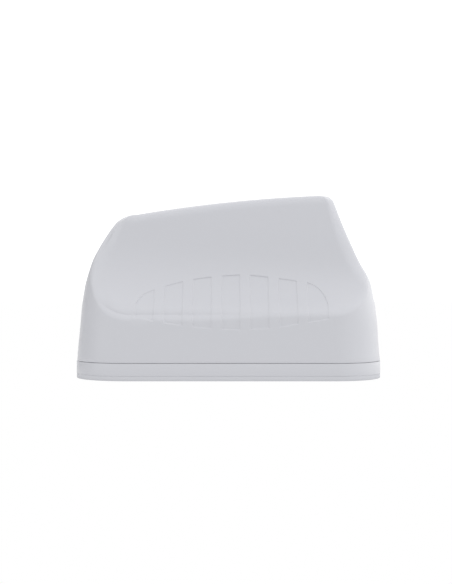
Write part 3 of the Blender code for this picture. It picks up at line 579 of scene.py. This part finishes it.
for x, y in POST_SPOTS:
    wide_cuts.append((circle(x, y, POST_BORE), TRAY_FLOOR - 1.0, ABOVE_FLOOR))
wide_cuts.append((circle(*VENT_SPOT, VENT_HEAD), 0.0, TRAY_BOTTOM + VENT_DEPTH))
combine(tray, wide_cuts, "DIFFERENCE")
bores = [(circle(x, y, SCREW_RADIUS + PLAY), 1.0, TRAY_TOP + 6.0) for x, y in BOSS_SPOTS]
bores.append((circle(*VENT_SPOT, VENT_STEM), 1.0, ABOVE_FLOOR))
combine(tray, bores, "DIFFERENCE")
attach(tray, "root")
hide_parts("base_tray")

# ---- roof gasket ----
bm = bmesh.new()
loft(bm, [(outline(GASKET_INSET + 0.35), 0.0),
          (outline(GASKET_INSET + 0.1), 0.12),
          (outline(GASKET_INSET), 0.4),
          (outline(GASKET_INSET), GASKET_TOP - BOTTOM_EDGE),
          (outline(GASKET_INSET + BOTTOM_EDGE), GASKET_TOP)])
gasket = finish("roof_gasket_pad", bm, foam_looks, 50.0)
windows = [circle(0.0, 0.0, HUB_WINDOW, 80), circle(*VENT_SPOT, VENT_WINDOW)]
windows += [circle(x, y, HEAD_WINDOW) for x, y in BOSS_SPOTS]
combine(gasket, [(window, -1.0, 4.0) for window in windows], "DIFFERENCE")
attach(gasket, "root")
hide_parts("roof_gasket")

# ---- looks of the pieces inside ----
INSIDE = (("radome_seal", cord_looks), ("hub_washer", rubber_looks), ("cable_grommet", rubber_looks),
          ("vent_plug", rubber_looks), ("ground_plane", plate_looks), ("cable_hub", hub_looks),
          ("hub_nut", hub_looks), ("board_clip", nylon_looks), ("wifi_foot", nylon_looks),
          ("front_board", board_looks), ("rear_board", board_looks), ("wifi_board", board_looks),
          ("gnss_board", board_looks), ("front_element", copper_looks), ("rear_element", copper_looks),
          ("wifi_element", copper_looks), ("feed_connector", gold_looks), ("gnss_spacer", gold_looks),
          ("gnss_patch", ceramic_looks), ("gnss_electrode", tin_looks), ("gnss_shield", tin_looks),
          ("radome_screw", zinc_looks), ("plate_screw", zinc_looks), ("clip_screw", zinc_looks))
for start, node_looks in INSIDE:
    for name, node in NODES.items():
        if name.startswith(start):
            node.data.materials.clear()
            node.data.materials.append(node_looks)

# ---- floor, light and camera ----
FLOOR_LEVEL, FLOOR_RADIUS, FLOOR_BOTTOM, FLOOR_TOP = 1.0, 6000.0, -20.0, -0.02
# brightness of the room: even, brighter towards both ends of the part, and darker in one zone
SKY_LEVEL = 1.25
SKY = (("X", 1.0, 0.74), ("X", -1.0, 0.45))
ZONE_LEVEL = -1.3
ZONE_ACROSS, ZONE_AHEAD, ZONE_TOP = (0.08, 0.26), (-0.6, -0.25), (0.3, 0.6)
WHITE, BLACK = (1.0, 1.0, 1.0, 1.0), (0.0, 0.0, 0.0, 1.0)
LENS, SENSOR, CAMERA_SPOT, CAMERA_DIP = 98.0, 36.0, (-0.0014, -0.915, 0.0502), 0.086

bm = bmesh.new()
floor_loop = circle(0.0, 0.0, FLOOR_RADIUS, 96)
loft(bm, [(floor_loop, FLOOR_BOTTOM), (floor_loop, FLOOR_TOP)])
floor_looks = bpy.data.materials.new("studio_floor")
floor_looks.use_nodes = True
shader = floor_looks.node_tree.nodes["Principled BSDF"]
shader.inputs["Base Color"].default_value = BLACK
shader.inputs["Specular IOR Level"].default_value = 0.0
shader.inputs["Emission Color"].default_value = WHITE
shader.inputs["Emission Strength"].default_value = FLOOR_LEVEL
floor = finish("studio_floor", bm, floor_looks, 30.0)

scene = bpy.context.scene
world = bpy.data.worlds.new("studio")
scene.world = world
world.use_nodes = True
tree = world.node_tree
sky = tree.nodes["Background"]
sky.inputs["Color"].default_value = WHITE
toward = tree.nodes.new("ShaderNodeSeparateXYZ")
tree.links.new(tree.nodes.new("ShaderNodeTexCoord").outputs["Generated"], toward.inputs["Vector"])


def sky_math(operation, *values):
    """Math node of the room light; each value is a number or an output to link."""
    node = tree.nodes.new("ShaderNodeMath")
    node.operation = operation
    for socket, value in zip(node.inputs, values):
        if isinstance(value, float):
            socket.default_value = value
        else:
            tree.links.new(value, socket)
    return node.outputs[0]


def sky_step(axis, span, first, last):
    """Eased change from first to last while the direction's axis value crosses the span."""
    node = tree.nodes.new("ShaderNodeMapRange")
    node.interpolation_type = "SMOOTHSTEP"
    node.inputs["From Min"].default_value, node.inputs["From Max"].default_value = span
    node.inputs["To Min"].default_value, node.inputs["To Max"].default_value = first, last
    tree.links.new(toward.outputs[axis], node.inputs["Value"])
    return node.outputs["Result"]


level = SKY_LEVEL
for axis, sign, amount in SKY:
    side = sky_math("MULTIPLY", toward.outputs[axis], sign)
    level = sky_math("MULTIPLY_ADD", sky_math("MAXIMUM", side, 0.0), amount, level)
zone = sky_math("MULTIPLY", sky_step("Y", ZONE_ACROSS, 0.0, 1.0), sky_step("X", ZONE_AHEAD, 1.0, 0.0))
zone = sky_math("MULTIPLY", zone, sky_step("Z", ZONE_TOP, 1.0, 0.0))
tree.links.new(sky_math("MULTIPLY_ADD", zone, ZONE_LEVEL, level), sky.inputs["Strength"])
scene.view_settings.view_transform = "Standard"

lens = bpy.data.cameras.new("camera")
lens.lens = LENS
lens.sensor_width = SENSOR
lens.clip_start = 0.01
lens.clip_end = 50.0
camera = bpy.data.objects.new("camera", lens)
bpy.context.collection.objects.link(camera)
camera.location = CAMERA_SPOT
camera.rotation_euler = (math.radians(90.0 - CAMERA_DIP), 0.0, 0.0)
scene.camera = camera
